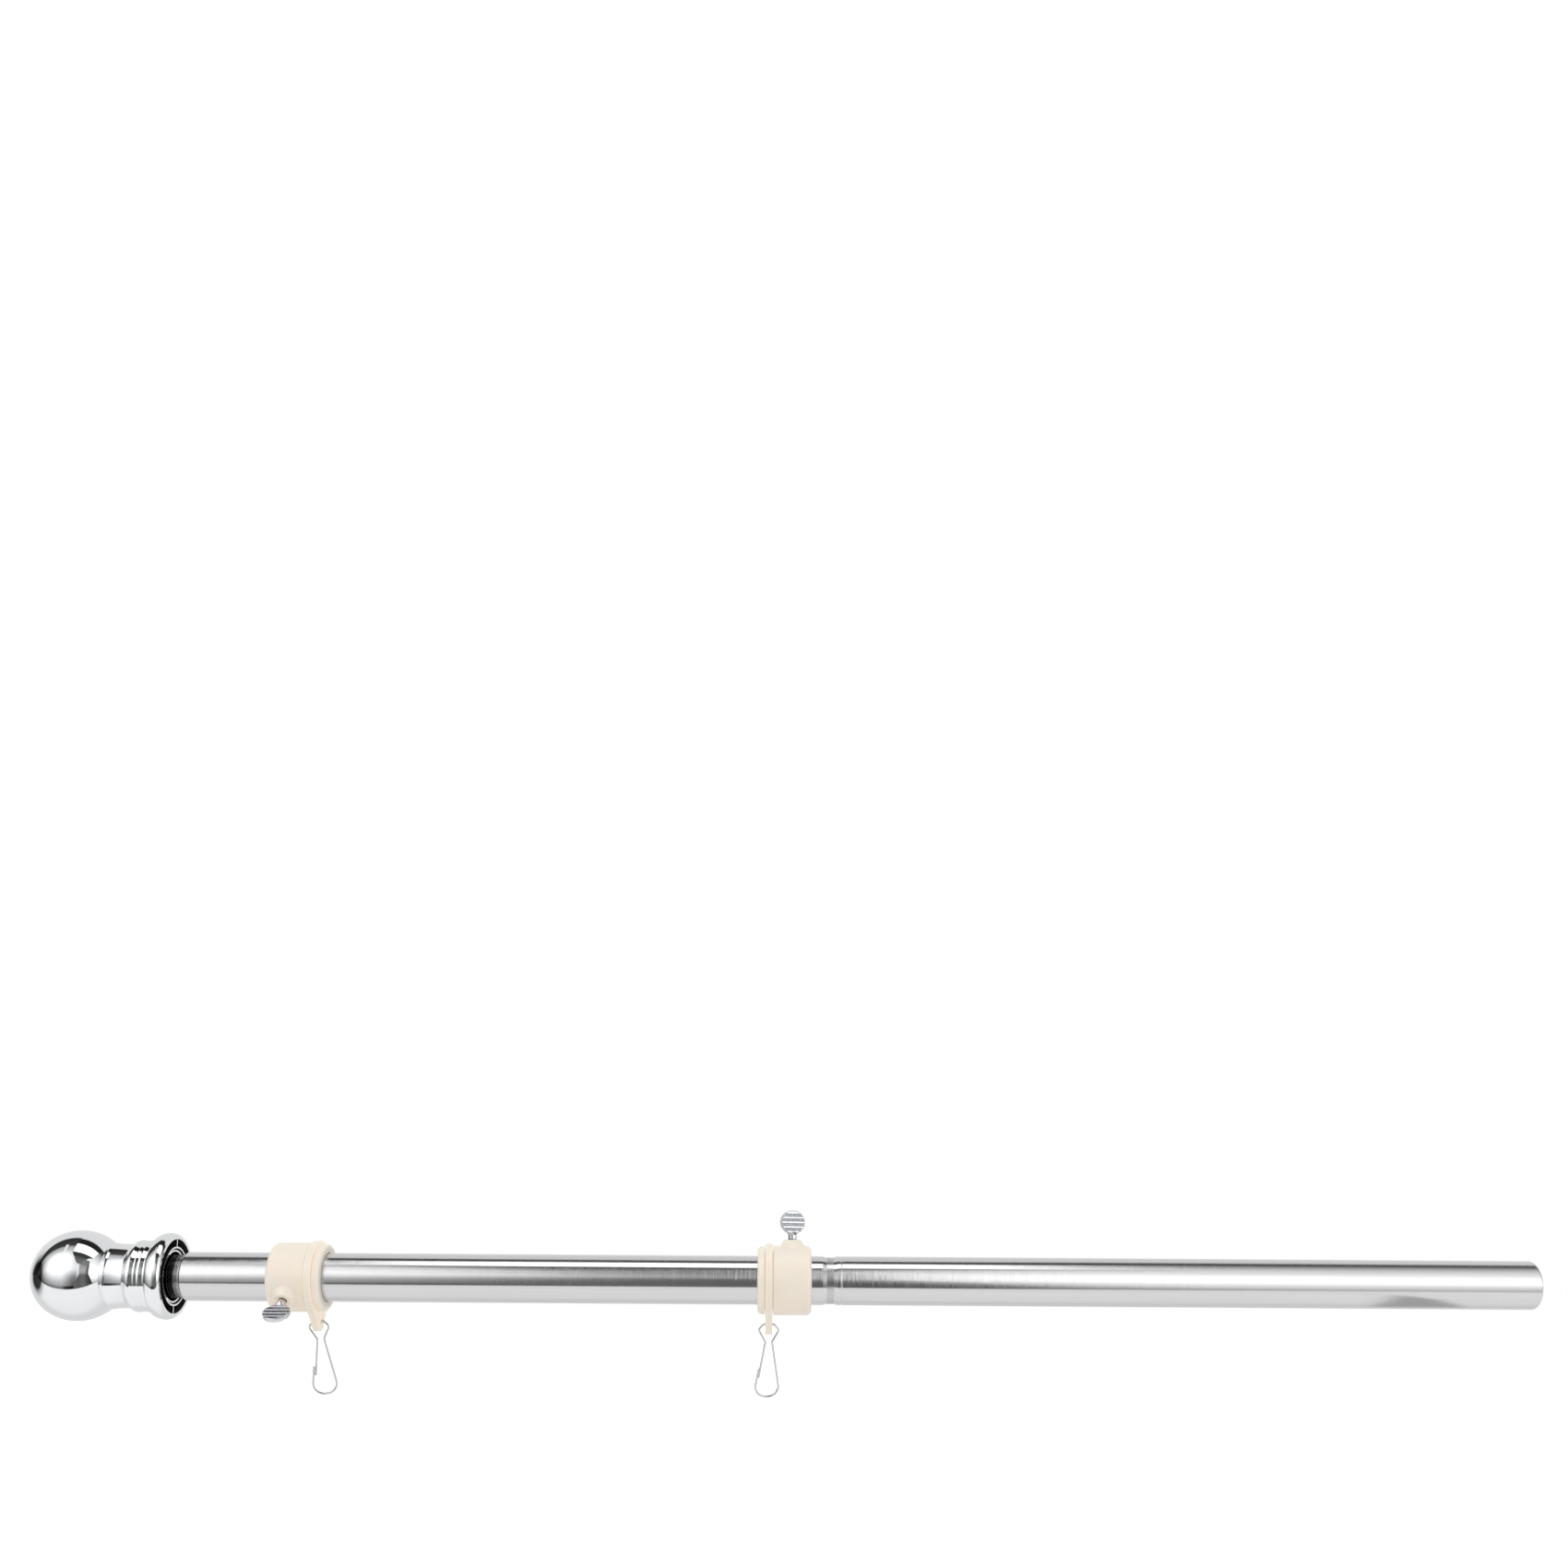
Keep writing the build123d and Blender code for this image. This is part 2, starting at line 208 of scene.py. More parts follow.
def between(value, low, high, below, above):
    """1 from low to high, with slopes of these widths below and above."""
    return step(value, low - below, low) * step(value, high + above, high)


def blend(first, second, share):
    """From the first value to the second, by this share."""
    return first + (second - first) * share


# %% [markdown]
# A finish is a material whose principled shader gets its constant values on its own sockets. Only what
# changes over the surface is wired in, such as a colour with faint clouds or a bump. The model's pieces
# take a finish by having it put into their material slot.

# %% Finishes
class Finish(Board):
    """A material with one principled shader."""

    def __init__(self, name, **constants):
        self.material = bpy.data.materials.new(name)
        self.material.use_nodes = True
        super().__init__(self.material.node_tree)
        self.shader = self.tree.nodes["Principled BSDF"]
        for socket, value in constants.items():
            self.shader.inputs[socket.replace("_", " ")].default_value = value

    def feed(self, socket, signal):
        self.tree.links.new(signal.socket, self.shader.inputs[socket])

    def bump(self, height, distance):
        """Raise the surface by this height, times a distance in metres."""
        values = {"Strength": 1.0, "Distance": distance, "Height": height}
        self.feed("Normal", self.node("ShaderNodeBump", sockets=values))

    def mix(self, factor, first, second):
        """Blend two colours."""
        settings = {"data_type": "RGBA"}
        return self.node("ShaderNodeMix", settings, {"Factor": factor, 6: first, 7: second}, output=2)


def dress(node, finish):
    """Put a finish on one of the model's own pieces."""
    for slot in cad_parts[node].material_slots:
        slot.material = finish.material
    print(node, "is", finish.material.name)


# %% [markdown]
# The tubes are stainless steel, turned against a polishing belt. The belt leaves rings too fine to see,
# and they spread every reflection along the tube but not around it. Noise that changes only along the
# tube does the same as a bump. A second, hazier layer on top greys the deepest blacks, as a worn polish
# does.

# %% Polished steel
steel = Finish("polished_steel_finish", Metallic=1.0, Coat_Weight=1.0, Coat_IOR=2.05, Coat_Roughness=0.36)
streaks = steel.noise((14, 900, 900), detail=4)
belt_rings = steel.noise((5000, 0, 0), detail=1)
belt_scratches = steel.ramp(steel.noise((7000, 2, 2), detail=1), [(0.45, 0.0), (0.60, 1.0)])
smudges = steel.noise((28, 45, 45), detail=5, rough=0.6)
steel_tint = steel.ramp(streaks, [(0.25, (0.605, 0.605, 0.615)), (0.75, (0.655, 0.655, 0.66))])
steel.feed("Roughness", 0.03 + smudges * 0.03 + streaks * 0.02)
steel.bump(belt_rings * 0.7 + belt_scratches * 0.8 + streaks * 0.12, 0.00001)
for node in ("lower_tube", "upper_tube"):
    dress(node, steel)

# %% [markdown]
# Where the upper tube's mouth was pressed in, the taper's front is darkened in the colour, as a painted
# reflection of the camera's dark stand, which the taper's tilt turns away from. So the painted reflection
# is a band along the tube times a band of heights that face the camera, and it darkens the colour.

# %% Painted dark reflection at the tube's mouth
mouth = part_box("upper_tube")[1].x
swage_length = 0.0022
dark_reflection_start = mouth - swage_length
dark_reflection_end = mouth + 0.0002
dark_reflection_low = -0.0033
dark_reflection_high = 0.0045
steel_along, _, steel_height = steel.axes()
# painted dark reflection: the front of the pressed mouth is darkened in the colour
painted_dark_reflection = between(steel_along, dark_reflection_start, dark_reflection_end, 0.15 * swage_length, 0.0004)
painted_dark_reflection = painted_dark_reflection * between(steel_height, dark_reflection_low, dark_reflection_high, 0.0007, 0.0017)
steel.feed("Base Color", steel.mix(painted_dark_reflection * 0.7, steel_tint, (0.12, 0.12, 0.12, 1.0)))
print("mark ends", round(1000 * dark_reflection_end, 1), "mm along the pole")

# %% [markdown]
# The plugs between the tubes and in the finial are machined, not polished. Their rings are closer and
# deeper, and they are duller. The one in the finial is almost black from a little outside the finial's rim
# inwards.

# %% Turned steel
grey_end = -0.7080
black_start = -0.7090


def turned_finish(name, darkest, lightest, depth):
    """Steel as a lathe leaves it, with rings of this depth in metres."""
    finish = Finish(name, Metallic=1.0)
    grooves = finish.noise((1800, 12, 12), detail=2)
    colour = finish.ramp(grooves, [(0.3, darkest), (0.7, lightest)])
    in_finial = step(finish.axes()[0], grey_end, black_start)
    finish.feed("Base Color", finish.mix(in_finial, colour, (0.03, 0.03, 0.03, 1.0)))
    finish.feed("Roughness", 0.2 + grooves * 0.14)
    finish.bump(grooves, depth)
    return finish


joint_steel = turned_finish("turned_steel_finish", (0.50, 0.50, 0.50), (0.62, 0.62, 0.62), 0.000012)
dress("joint_ferrule", joint_steel)
plug_steel = turned_finish("plug_finish", (0.34, 0.34, 0.35), (0.44, 0.44, 0.45), 0.000006)
dress("finial_plug", plug_steel)

# %% [markdown]
# The finial is moulded plastic with a bright plated skin. Plating is smooth, but a moulding under it
# never is: long, shallow waves bend the reflections a little. Deep in the openings the surfaces get a
# second finish instead, which is almost black.

# %% Bright plating and the dark openings
chrome = Finish("bright_plating", Metallic=1.0)
waves = chrome.noise((70, 70, 70), detail=1)
haze = chrome.noise((160, 160, 160), detail=4, rough=0.6)
chrome.feed("Base Color", chrome.ramp(haze, [(0.3, (0.82, 0.83, 0.84)), (0.7, (0.86, 0.865, 0.875))]))
chrome.feed("Roughness", 0.022 + haze * 0.03)
chrome.bump(waves, 0.00004)
dress("finial_ball", chrome)

# almost black finish for the surfaces deep in the openings
dark_openings = Finish("dark_openings_finish", IOR=1.5)
mould_grain = dark_openings.noise((900, 900, 900), detail=3)
dark_openings.feed("Base Color", dark_openings.ramp(mould_grain, [(0.3, 0.006), (0.7, 0.014)]))
dark_openings.feed("Roughness", 0.45 + mould_grain * 0.1)

# %% [markdown]
# The cup between the ball and the tube is turned again here, with its bead and its two fine steps where
# the photograph shows them, and so is the thin sleeve in its open end. They stand in for the model's
# pieces. Each outline is a list of depths from the open rim and radii, in millimetres. Its round parts
# need only a few points, because curve adds others between them, on a line that passes through them all.

# %% Curves in an outline
curve_steps = 6


def curve(points):
    """A smooth curve through these points."""
    ends = [points[0], *points, points[-1]]
    made = []
    for before, first, second, after in zip(ends, ends[1:], ends[2:], ends[3:]):
        for i in range(curve_steps):
            t = i / curve_steps
            weights = (
                -t + 2 * t**2 - t**3,
                2 - 5 * t**2 + 3 * t**3,
                t + 4 * t**2 - 3 * t**3,
                t**3 - t**2,
            )
            near = (before, first, second, after)
            made.append([sum(w * point[axis] for w, point in zip(weights, near)) / 2 for axis in (0, 1)])
    return made + [list(points[-1])]


# %% [markdown]
# The outline is then turned about the pole's axis, in many flat sides that the smooth shading hides. A
# revolve of a drawn curve could do that as well, but here every stretch of the outline can be given its
# own material: bright plating, or the almost black finish of the openings. A point on the axis stays one
# point, and the faces beside it become triangles.

# %% Turning
turn_sides = 144
cup_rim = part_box("finial_cup")[1].x


def turn(mesh, outline, plated):
    """Turn a closed outline about the pole's axis, with bright plating on these stretches of it."""
    loops = []
    for depth, radius in outline:
        turns = [2 * pi * i / turn_sides for i in range(turn_sides if radius else 1)]
        place = cup_rim - depth / 1000
        circle = [(place, radius * sin(a) / 1000, radius * cos(a) / 1000) for a in turns]
        loops.append([mesh.verts.new(point) for point in circle])
    for index, (first, second) in enumerate(zip(loops, loops[1:] + loops[:1])):
        for i in range(turn_sides):
            j = (i + 1) % turn_sides
            around = ((first, i), (first, j), (second, j), (second, i))
            corners = list(dict.fromkeys(loop[k % len(loop)] for loop, k in around))
            if len(corners) > 2:
                mesh.faces.new(corners).material_index = 0 if index in plated else 1


print("cup's rim is at", round(1000 * cup_rim, 1), "mm along the pole")

# %% [markdown]
# A moulding has no sharp edges. A narrow bevel on each sharp edge catches the light as the real ones do.
# Hardened normals keep the flat stretches flat beside it, and the smooth shading goes round the turn.

# %% Finial pieces
edge_width = 0.00010
sharp_from = radians(20)


def finial_piece(name, mesh, node):
    """Make a piece of this mesh with softened edges, in place of a node of the model."""
    bmesh.ops.recalc_face_normals(mesh, faces=mesh.faces)
    for face in mesh.faces:
        face.smooth = True
    data = bpy.data.meshes.new(name)
    mesh.to_mesh(data)
    data.materials.append(chrome.material)
    data.materials.append(dark_openings.material)
    piece = bpy.data.objects.new(name, data)
    bpy.context.scene.collection.objects.link(piece)
    soft_edges = piece.modifiers.new("soft_edges", "BEVEL")
    soft_edges.width = edge_width
    soft_edges.segments = 2
    soft_edges.limit_method = "ANGLE"
    soft_edges.angle_limit = sharp_from
    soft_edges.harden_normals = True
    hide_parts(node)
    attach(piece, "pole")
    print(name, "has", len(data.polygons), "faces")


# %% [markdown]
# The cup's outline runs from the ball over the barrel, the bead, the two steps and the flared skirt to
# the rim, and back through the cavity, where the sleeve sits in its seat.

# %% Outline of the finial's cup
barrel_bore = 15.3
sleeve_seat = 15.55
barrel_start = [(32.6, barrel_bore), (32.6, 16.85)]
barrel_ring = curve([(32.1, 16.85), (31.0, 17.2), (29.9, 16.85)])
bead = curve(
    [(21.4, 16.65), (20.6, 17.2), (19.8, 17.9), (18.8, 18.5), (17.7, 18.75), (16.9, 18.65), (16.4, 18.4)]
)
first_step = [(15.3, 17.85), (14.6, 17.85), (14.35, 18.55), (13.2, 17.95)]
second_step = [(12.1, 17.95), (11.8, 18.85), (10.1, 17.95), (9.15, 17.95)]
flare_side = [(9.1, 18.4), (8.7, 19.9), (8.1, 21.0), (7.3, 21.7)]
flare_rim = [(5.2, 22.45), (3.2, 22.65), (1.2, 22.1), (0.0, 21.05)]
flare = curve(flare_side + flare_rim)
skin = [*barrel_start, *barrel_ring, *bead, *first_step, *second_step, *flare]
cavity = [(0, 19.4), (8.0, 17.4), (8.0, sleeve_seat), (11.0, sleeve_seat), (11.0, barrel_bore)]
print("cup's outline has", len(skin) + len(cavity), "points")

# %% [markdown]
# Four thin webs in the cavity hold the sleeve. Each is a flat plate that is drawn once at the top, given
# its two sides and turned into its quarter. Their front edges are plated, as the rim is.

# %% Finial cup
web_half = 0.4
web_recess = 0.3
web_bottom = 8.2
web_count = 4
web_outline = [(web_recess, sleeve_seat), (web_recess, 19.5), (web_bottom, 17.6), (web_bottom, sleeve_seat)]


def add_web(mesh, quarter_turn):
    """A plate with the web's outline, turned about the pole's axis."""
    sides = []
    for half in (-web_half, web_half):
        plate = [(cup_rim - depth / 1000, half / 1000, radius / 1000) for depth, radius in web_outline]
        sides.append([mesh.verts.new(quarter_turn @ Vector(corner)) for corner in plate])
    for side in sides:
        mesh.faces.new(side).material_index = 1
    for i in range(len(web_outline)):
        j = (i + 1) % len(web_outline)
        edge = mesh.faces.new((sides[0][i], sides[0][j], sides[1][j], sides[1][i]))
        edge.material_index = 0 if i == 0 else 1


cup_mesh = bmesh.new()
turn(cup_mesh, skin + cavity, range(len(skin)))
for count in range(web_count):
    add_web(cup_mesh, Matrix.Rotation(count * 2 * pi / web_count, 3, "X"))
finial_piece("turned_cup", cup_mesh, "finial_cup")

# %% [markdown]
# The sleeve's front has a narrow rim and a ring a little behind it. Only these two are bright. The plug
# goes into its bore, and a floor closes the bore towards the ball.

# %% Finial sleeve
sleeve_radius = 15.5
tail_radius = 15.25
plug_bore = 11.25
mouth_radius = 12.9
floor_front = 24.0
floor_back = 25.5
bright_stretches = (0, 4)
sleeve_mouth = [(0.9, mouth_radius), (0.9, 13.8), (1.2, 13.8)]
sleeve_rim = [(1.2, 14.5), (0.2, 14.6), (0.2, sleeve_radius)]
sleeve_back = [(10.9, sleeve_radius), (10.9, tail_radius), (floor_back, tail_radius), (floor_back, 0)]
sleeve_inside = [(floor_front, 0), (floor_front, plug_bore), (9.8, plug_bore), (9.8, mouth_radius)]
sleeve_mesh = bmesh.new()
turn(sleeve_mesh, sleeve_mouth + sleeve_rim + sleeve_back + sleeve_inside, bright_stretches)
finial_piece("turned_sleeve", sleeve_mesh, "finial_sleeve")

# %% [markdown]
# The rings are ivory nylon. Light goes a little way into it before it comes out, which softens every
# edge, so it gets a short scattering distance. Its skin has the fine grain of the mould and faint clouds.

# %% Ivory plastic
ivory = Finish(
    "ivory_moulding",
    IOR=1.5,
    Subsurface_Weight=0.5,
    Subsurface_Radius=(1.0, 0.72, 0.46),
    Subsurface_Scale=0.003,
)
clouds = ivory.noise((120, 120, 120), detail=4)
grain = ivory.noise((3800, 3800, 3800), detail=2)
ivory.feed("Base Color", ivory.ramp(clouds, [(0.3, (0.92, 0.825, 0.715)), (0.7, (0.94, 0.85, 0.745))]))
ivory.feed("Roughness", 0.34 + clouds * 0.12)
ivory.bump(grain, 0.00001)
ring_names = ("upper", "lower")
for ring in ring_names:
    for part in ("collar", "flange", "swivel"):
        dress(f"{ring}_{part}", ivory)

# %% [markdown]
# In narrow openings the nylon glows faintly, with the light that has come through it. Scattering at the
# right depth would take far more samples, so the glow is painted light, given by place: in the bore, in
# the grooves beside the swivels and, more strongly, in the recesses around the screws. The grooves and
# the screws are found from the model's boxes.

# %% Glow in the openings
bore_glow_end = 0.0134
gap_width = 0.00035
soft_width = 0.0001
recess_radius = 0.0031
recess_floor = 0.0190
recess_share = 2.5
screw_angles = {"upper": radians(127), "lower": 0.0}

ivory_along, ivory_across, ivory_up = ivory.axes()
from_axis = (ivory_across * ivory_across + ivory_up * ivory_up) ** 0.5
glow = step(from_axis, bore_glow_end + soft_width, bore_glow_end)
for ring, screw_angle in screw_angles.items():
    screw_low, screw_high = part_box(f"{ring}_thumbscrew")
    off_middle = ivory_along - (screw_low.x + screw_high.x) / 2
    off_axis = ivory_across * cos(screw_angle) + ivory_up * sin(screw_angle)
    from_screw = (off_middle * off_middle + off_axis * off_axis) ** 0.5
    recess = step(from_screw, recess_radius, recess_radius - soft_width)
    recess = recess * step(from_axis, recess_floor, recess_floor + soft_width)
    glow = glow + recess * recess_share
    swivel_low, swivel_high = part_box(f"{ring}_swivel")
    for start in (swivel_low.x - gap_width, swivel_high.x):
        glow = glow + between(ivory_along, start, start + gap_width, soft_width, soft_width)
no_glow = (0.0, 0.0, 0.0, 1.0)
full_glow = (0.35, 0.275, 0.19, 1.0)
# painted light: a warm glow in the bore, the grooves and the screw recesses
ivory.feed("Emission Color", ivory.mix(glow / recess_share, no_glow, full_glow))
ivory.shader.inputs["Emission Strength"].default_value = 1.0
print("glow made of", len(ivory.tree.nodes), "nodes with the finish")

# %% [markdown]
# The thumbscrews are cast zinc with a bright plate, greyer than the finial. The grooves of the grip are
# darkened in the colour as painted shade. Drawing those grooves into the colour would need their places.
# The ambient occlusion node finds them by itself, as points with little open space within a millimetre.

# %% Plated zinc
reach = 0.001
zinc = Finish("plated_casting", Metallic=1.0)
pits = zinc.noise((900, 900, 900), detail=4, rough=0.6)
plate = zinc.ramp(pits, [(0.3, (0.60, 0.61, 0.63)), (0.7, (0.72, 0.73, 0.75))])
openness = zinc.node("ShaderNodeAmbientOcclusion", {"samples": 8}, {"Distance": reach}, output=1)
# painted shade: the grooves of the grip, found by ambient occlusion, are darkened in the colour
painted_groove_shade = step(openness + pits * 0.2 - 0.1, 0.97, 0.76)
zinc.feed("Base Color", zinc.mix(painted_groove_shade, plate, (0.07, 0.08, 0.11, 1.0)))
zinc.feed("Roughness", 0.10 + pits * 0.12)
zinc.bump(pits, 0.00003)
for ring in ring_names:
    dress(f"{ring}_thumbscrew", zinc)

# %% [markdown]
# The hooks are hard drawn wire with nickel on it. Drawing leaves fine marks along the wire. Most of the
# wire lies upright, so noise that is stretched in height gives them their direction.

# %% Nickel on wire
nickel = Finish("wire_nickel", Metallic=1.0)
draw_marks = nickel.noise((2400, 2400, 160), detail=3)
nickel.feed("Base Color", nickel.ramp(draw_marks, [(0.3, (0.56, 0.56, 0.57)), (0.7, (0.68, 0.68, 0.69))]))
nickel.feed("Roughness", 0.16 + draw_marks * 0.12)
nickel.bump(draw_marks, 0.00001)
for ring in ring_names:
    dress(f"{ring}_hook", nickel)

# %% [markdown]
# Polished metal has hardly any colour of its own: it shows the room. So the room is made next, as a
# tunnel of light around the pole. Lamps and cards set up one by one would do as in a studio, but on a
# long mirror each of them becomes a stripe, and a tunnel draws those stripes directly. It is a closed
# tube about the pole's axis.

# %% Tube of a tunnel
tunnel_sides = 128


def tube_mesh(name, radius, ends):
    """A tube about the X axis with closed ends."""
    mesh = bmesh.new()
    turns = [2 * pi * i / tunnel_sides for i in range(tunnel_sides)]
    loops = []
    for x in ends:
        loops.append([mesh.verts.new((x, radius * cos(a), radius * sin(a))) for a in turns])
        mesh.faces.new(loops[-1])
    for i in range(tunnel_sides):
        j = (i + 1) % tunnel_sides
        mesh.faces.new((loops[0][i], loops[0][j], loops[1][j], loops[1][i]))
    data = bpy.data.meshes.new(name)
    mesh.to_mesh(data)
    return data


# %% [markdown]
# A tunnel's brightness is a function of the angle about the pole and of the place along it. Only
# reflections see it, so it neither lights the plastic nor shows in the picture. Places along it are
# counted in columns of the photograph. In each column the pole shows what would stand behind it at the
# tunnel's distance, as if one looked straight through.

# %% Tunnels of light
pole_middle_column = 840
first_column = -2300
column_span = 4600


class Tunnel(Board):
    """A closed tube of light about the X axis, which only reflections see."""

    def __init__(self, name, radius, ends):
        self.piece = bpy.data.objects.new(name, tube_mesh(name, radius, ends))
        for ray in ("camera", "diffuse", "transmission", "volume_scatter", "shadow"):
            setattr(self.piece, "visible_" + ray, False)
        bpy.context.scene.collection.objects.link(self.piece)
        material = bpy.data.materials.new(name)
        material.use_nodes = True
        material.node_tree.nodes.clear()
        self.piece.data.materials.append(material)
        super().__init__(material.node_tree)
        along, across, up = self.axes()
        around = self.node("ShaderNodeMath", {"operation": "ARCTAN2"}, {0: up, 1: across * -1.0})
        self.angle = around * (180 / pi)
        column_width = (-camera_place.y + radius) / (focal_length * photo_size)
        self.column = (along - camera_place.x) / column_width + pole_middle_column

    def by_angle(self, pairs):
        """Values by the angle in degrees: 0 is towards the camera, 90 is up and 180 is behind."""
        return self.ramp(self.angle / 360 + 0.5, [(place / 360 + 0.5, value) for place, value in pairs])

    def by_column(self, pairs):
        """Values by the column of the photograph."""
        stops = [((place - first_column) / column_span, value) for place, value in pairs]
        return self.ramp((self.column - first_column) / column_span, stops)

    def shine(self, light, where=None):
        """Shine with this light, everywhere or only where the second value is 1."""
        surface = self.node("ShaderNodeEmission", sockets={"Color": light, "Strength": 1.0})
        if where is not None:
            clear = self.node("ShaderNodeBsdfTransparent")
            surface = self.node("ShaderNodeMixShader", sockets={0: where, 1: clear, 2: surface})
        self.show(surface)
        print(self.piece.name, "is made of", len(self.tree.nodes), "nodes")


# %% [markdown]
# The room itself is a tunnel of 80 cm radius, a little behind the camera. It reaches far past both ends
# of the pole, because the ball mirrors almost the whole of it.

# %% Light tent
tent = Tunnel("light_tent", 0.8, (-4.0, 3.2))
print("tent has", len(tent.piece.data.polygons), "faces")

# %% [markdown]
# The wall behind the camera comes first. To the left it is a bright window wall, darker towards the floor
# and towards the middle, and to the right it is bright again. High on it, under the lamp box, is a dark
# gap. Its two edges curve, so each edge is itself a curve: the column where it lies, by angle, in
# thousands.

# %% Wall behind the camera
edge_softness = 14
gap_left = 1000 * tent.by_angle([(31, 0.66), (38, 0.58), (46, 0.52), (55, 0.43), (61, 0.40)])
gap_right = 1000 * tent.by_angle([(31, 0.88), (40, 0.90), (50, 0.94), (54, 1.0), (58, 1.12)])
window_height = tent.by_angle([(-30, 0.34), (-15, 0.62), (0, 1.1), (20, 1.8), (45, 1.5), (62, 0.9)])
window_width = tent.by_column(
    [(-900, 0.55), (-500, 0.8), (-100, 1.0), (240, 1.0), (420, 0.8), (560, 0.6), (700, 0.5)]
)
window_foot = tent.by_column([(240, 1.0), (420, 0.75), (560, 0.5), (700, 0.4)])
window = window_height * window_width * blend(window_foot, 1.0, step(tent.angle, -8, 16))
right_wall = tent.by_angle(
    [(-30, 0.75), (-22, 0.8), (-9, 1.15), (4, 1.6), (28, 1.6), (45, 1.12), (60, 0.92)]
)
past_left = step(tent.column, gap_left - edge_softness, gap_left + edge_softness)
past_right = step(tent.column, gap_right - edge_softness, gap_right + edge_softness)
gap = tent.by_angle([(31, 0.20), (44, 0.14), (52, 0.05)])
high_wall = blend(blend(window, gap, past_left), right_wall, past_right)
low_wall = blend(window, right_wall, step(tent.column, 640, 980))
wall = blend(low_wall, high_wall, step(tent.angle, 30, 32))
print("wall takes", len(tent.tree.nodes), "nodes")

# %% [markdown]
# Overhead is a lamp box between two dark gaps, with a small one above the finial. To its left the ceiling
# is grey, and to its right the light falls off slowly towards the dark strip behind it. The wall at the
# back is light grey. As the lamp box stands askew, its left edge is a straight line of columns by angle.

# %% Ceiling and back wall
box_left = 430 - (tent.angle - 62) * 1.6
box_right = 1105
back = 0.82
ceiling_left = tent.by_angle([(61, 0.75), (74, 0.45), (79, 0.06), (104, 0.03), (109, back)])
ceiling_box = tent.by_angle([(61, 2.2), (84, 2.2), (86, 0.02), (102, 0.02), (105, back)])
small_box = between(tent.column, 122, 190, 4, 6) * step(tent.angle, 83, 81)
ceiling_left = blend(ceiling_left, 1.0, small_box)
ceiling_right = tent.by_angle(
    [(60, 0.92), (75, 0.6), (88, 0.22), (94, 0.05), (105, 0.05), (109, 0.6), (113, back)]
)
ceiling = blend(ceiling_left, ceiling_box, step(tent.column, box_left - 25, box_left + 25))
ceiling = blend(ceiling, ceiling_right, step(tent.column, box_right - 50, box_right + 50))
back_width = tent.by_column([(-1900, 0.45), (-1300, 0.65), (-600, 1.0)])
ceiling = ceiling * blend(1.0, back_width, step(tent.angle, 100, 112))
print("wall and ceiling take", len(tent.tree.nodes), "nodes")

# %% [markdown]
# The table below the pole is light grey too, and its far edge is a thin dark line. The wall, the ceiling
# and the table are joined by angle, and the whole tent gets dark far to the left.

# %% Table
table = tent.by_angle([(-180, 0.82), (-165, 0.76), (-120, 0.78), (-100, 0.95), (-60, 1.0)])
upper_room = blend(wall, ceiling, step(tent.angle, 60, 62))
room = blend(upper_room, table, step(tent.angle, -32, -33.5))
line_width = tent.by_column([(200, 0.35), (380, 1.0), (1080, 1.0), (1300, 0.25)])
table_line = tent.by_angle([(-34, 0.0), (-33, 1.0), (-27, 1.0), (-24, 0.0)]) * line_width
left_end = tent.by_column([(-2100, 0.04), (-900, 1.0)])
tent.shine(room * (1 - 0.9 * table_line) * left_end)

# %% [markdown]
# The camera's stand is nearer than the wall, at half a metre. What is near shifts more from one end of
# the pole to the other, so it is a second, smaller tunnel that is clear apart from this dark dome. Its
# top catches some light on the left.

# %% Shade of the camera's stand
dome_softness = 12
stand = Tunnel("camera_stand", 0.5, (-2.4, 1.8))
dome_left = 1000 * stand.by_angle(
    [(-31, 0.49), (-20, 0.52), (-8, 0.58), (2, 0.64), (30, 0.60), (33, 0.66), (46, 0.66)]
)
dome_right = 1000 * stand.by_angle(
    [(-31, 1.15), (-18, 1.11), (-4, 1.03), (6, 0.96), (30, 0.93), (38, 0.89), (46, 0.87)]
)
on_dome = step(stand.column, dome_left - dome_softness, dome_left + dome_softness)
on_dome = on_dome * step(stand.column, dome_right + dome_softness, dome_right - dome_softness)
on_dome = on_dome * between(stand.angle, -30.5, 45, 1, 2)
dome_foot = stand.by_column([(480, 0.15), (640, 0.12), (720, 0.16), (800, 0.15), (900, 0.08), (1000, 0.05)])
dome_top = stand.by_angle([(0, 0.20), (6, 0.36), (14, 0.46), (24, 0.42), (31, 0.26), (46, 0.20)])
dome_top = blend(dome_top, 0.14, step(stand.column, 800, 880))
stand.shine(blend(dome_foot, dome_top, step(stand.angle, 0, 8)), on_dome)

# %% [markdown]
# A grey sheet's corner lies on the table close to the butt, and the tube shows it as a small leaning
# triangle. It is so near that it gets a third tunnel, only five centimetres from the pole's axis.

# %% Grey sheet on the table
sheet_softness = 2
sheet = Tunnel("grey_sheet", 0.05, (-0.2, 0.06))
sheet_left = 1000 * sheet.by_angle([(-120, 1.468), (-45, 1.488)])
sheet_right = 1000 * sheet.by_angle([(-120, 1.567), (-90, 1.553), (-66, 1.534), (-45, 1.496)])
on_sheet = step(sheet.column, sheet_left - sheet_softness, sheet_left + sheet_softness)
on_sheet = on_sheet * step(sheet.column, sheet_right + sheet_softness, sheet_right - sheet_softness)
on_sheet = on_sheet * between(sheet.angle, -120, -46, 1, 2)
sheet.shine(0.48, on_sheet)

# %% [markdown]
# The picture's ground is pure white, without more light on the object. That takes a ground which looks
# brighter than it lights: it glows only for some rays, and the Light Path node tells which kind of ray
# has arrived.

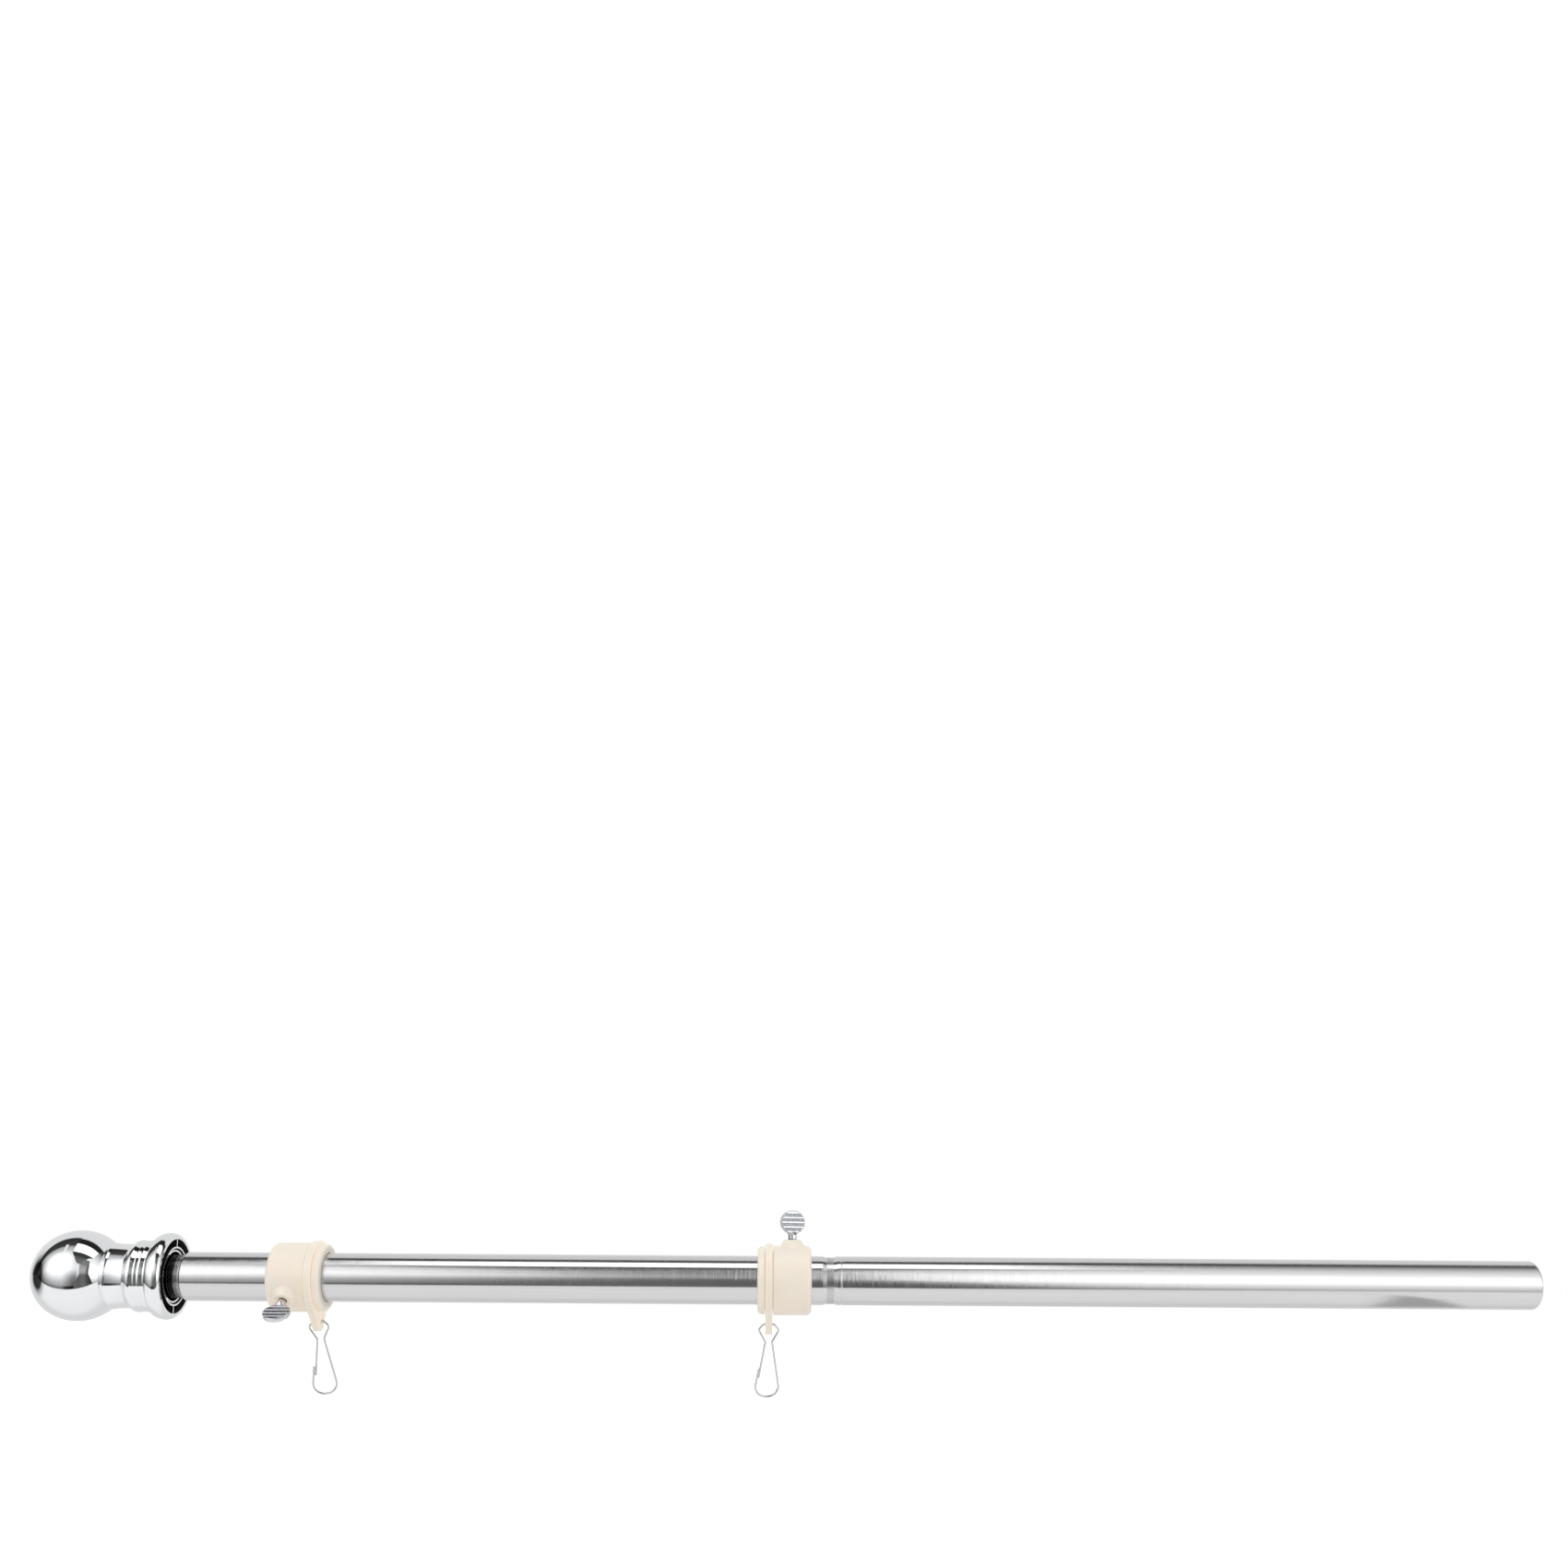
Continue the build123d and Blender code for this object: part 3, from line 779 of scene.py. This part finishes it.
# %% Rays that see the ground white
def seen_directly(board):
    """1 for rays from the camera and for those that metal or glass sends on."""
    kinds = ("Is Camera Ray", "Is Glossy Ray", "Is Transmission Ray")
    from_camera, mirrored, let_through = [board.node("ShaderNodeLightPath", output=kind) for kind in kinds]
    return from_camera + mirrored + let_through


# %% [markdown]
# The floor is a matt white sheet that keeps the object's soft shadow, with a glow for those rays. It lies
# well below the pole and reaches far to each side, so that no edge of it shows. The polished tubes don't
# mirror it, because the tent has a table of its own.

# %% Floor
floor_level = -0.25
floor_half = 9.0
floor_glow = 0.5

white_sheet = bpy.data.materials.new("white_sheet")
white_sheet.use_nodes = True
white_sheet.node_tree.nodes.clear()
ground = Board(white_sheet.node_tree)
matt = ground.node("ShaderNodeBsdfDiffuse", sockets={"Color": (0.86, 0.86, 0.86, 1.0)})
ground_glow = ground.node("ShaderNodeEmission", sockets={"Strength": floor_glow})
glowing = ground.node("ShaderNodeAddShader", sockets={0: matt, 1: ground_glow})
ground.show(ground.node("ShaderNodeMixShader", sockets={0: seen_directly(ground), 1: matt, 2: glowing}))

floor_mesh = bpy.data.meshes.new("floor")
signs = ((-1, -1), (1, -1), (1, 1), (-1, 1))
floor_corners = [(x * floor_half, y * floor_half, floor_level) for x, y in signs]
floor_mesh.from_pydata(floor_corners, [], [(0, 1, 2, 3)])
floor_mesh.materials.append(white_sheet)
floor = bpy.data.objects.new("floor", floor_mesh)
bpy.context.scene.collection.objects.link(floor)
floor.visible_glossy = False
print("floor is", 2 * floor_half, "m wide")

# %% [markdown]
# The sky lights the object evenly from all sides, at a little less than full white. The same rays that
# see the floor glow see the sky at full white.

# %% Sky
sky_strength = 0.9
world = bpy.data.worlds.new("studio")
bpy.context.scene.world = world
world.use_nodes = True
world.node_tree.nodes.clear()
sky = Board(world.node_tree)
brightness = blend(sky_strength, 1, seen_directly(sky))
backdrop = sky.node("ShaderNodeBackground", sockets={"Color": (1.0, 1.0, 1.0, 1.0), "Strength": brightness})
sky.show(backdrop, "ShaderNodeOutputWorld")
print("sky is made of", len(sky.tree.nodes), "nodes")

# %% [markdown]
# One wide lamp from above and in front gives the plastic its soft shading from top to bottom. It is big,
# so that its shadows have no edge, and it is left out of reflections because the tent already has its
# own.

# %% Lamp
lamp_target = Vector((-0.4, 0.0, 0.0))
lamp = bpy.data.objects.new("wide_lamp", bpy.data.lights.new("wide_lamp", "AREA"))
lamp.data.size = 1.4
lamp.data.energy = 2.5
lamp.location = (-0.5, -0.75, 1.15)
lamp.rotation_euler = (lamp_target - lamp.location).to_track_quat("-Z", "Y").to_euler()
lamp.visible_glossy = False
bpy.context.scene.collection.objects.link(lamp)
print("lamp is", round((lamp_target - lamp.location).length, 2), "m away")
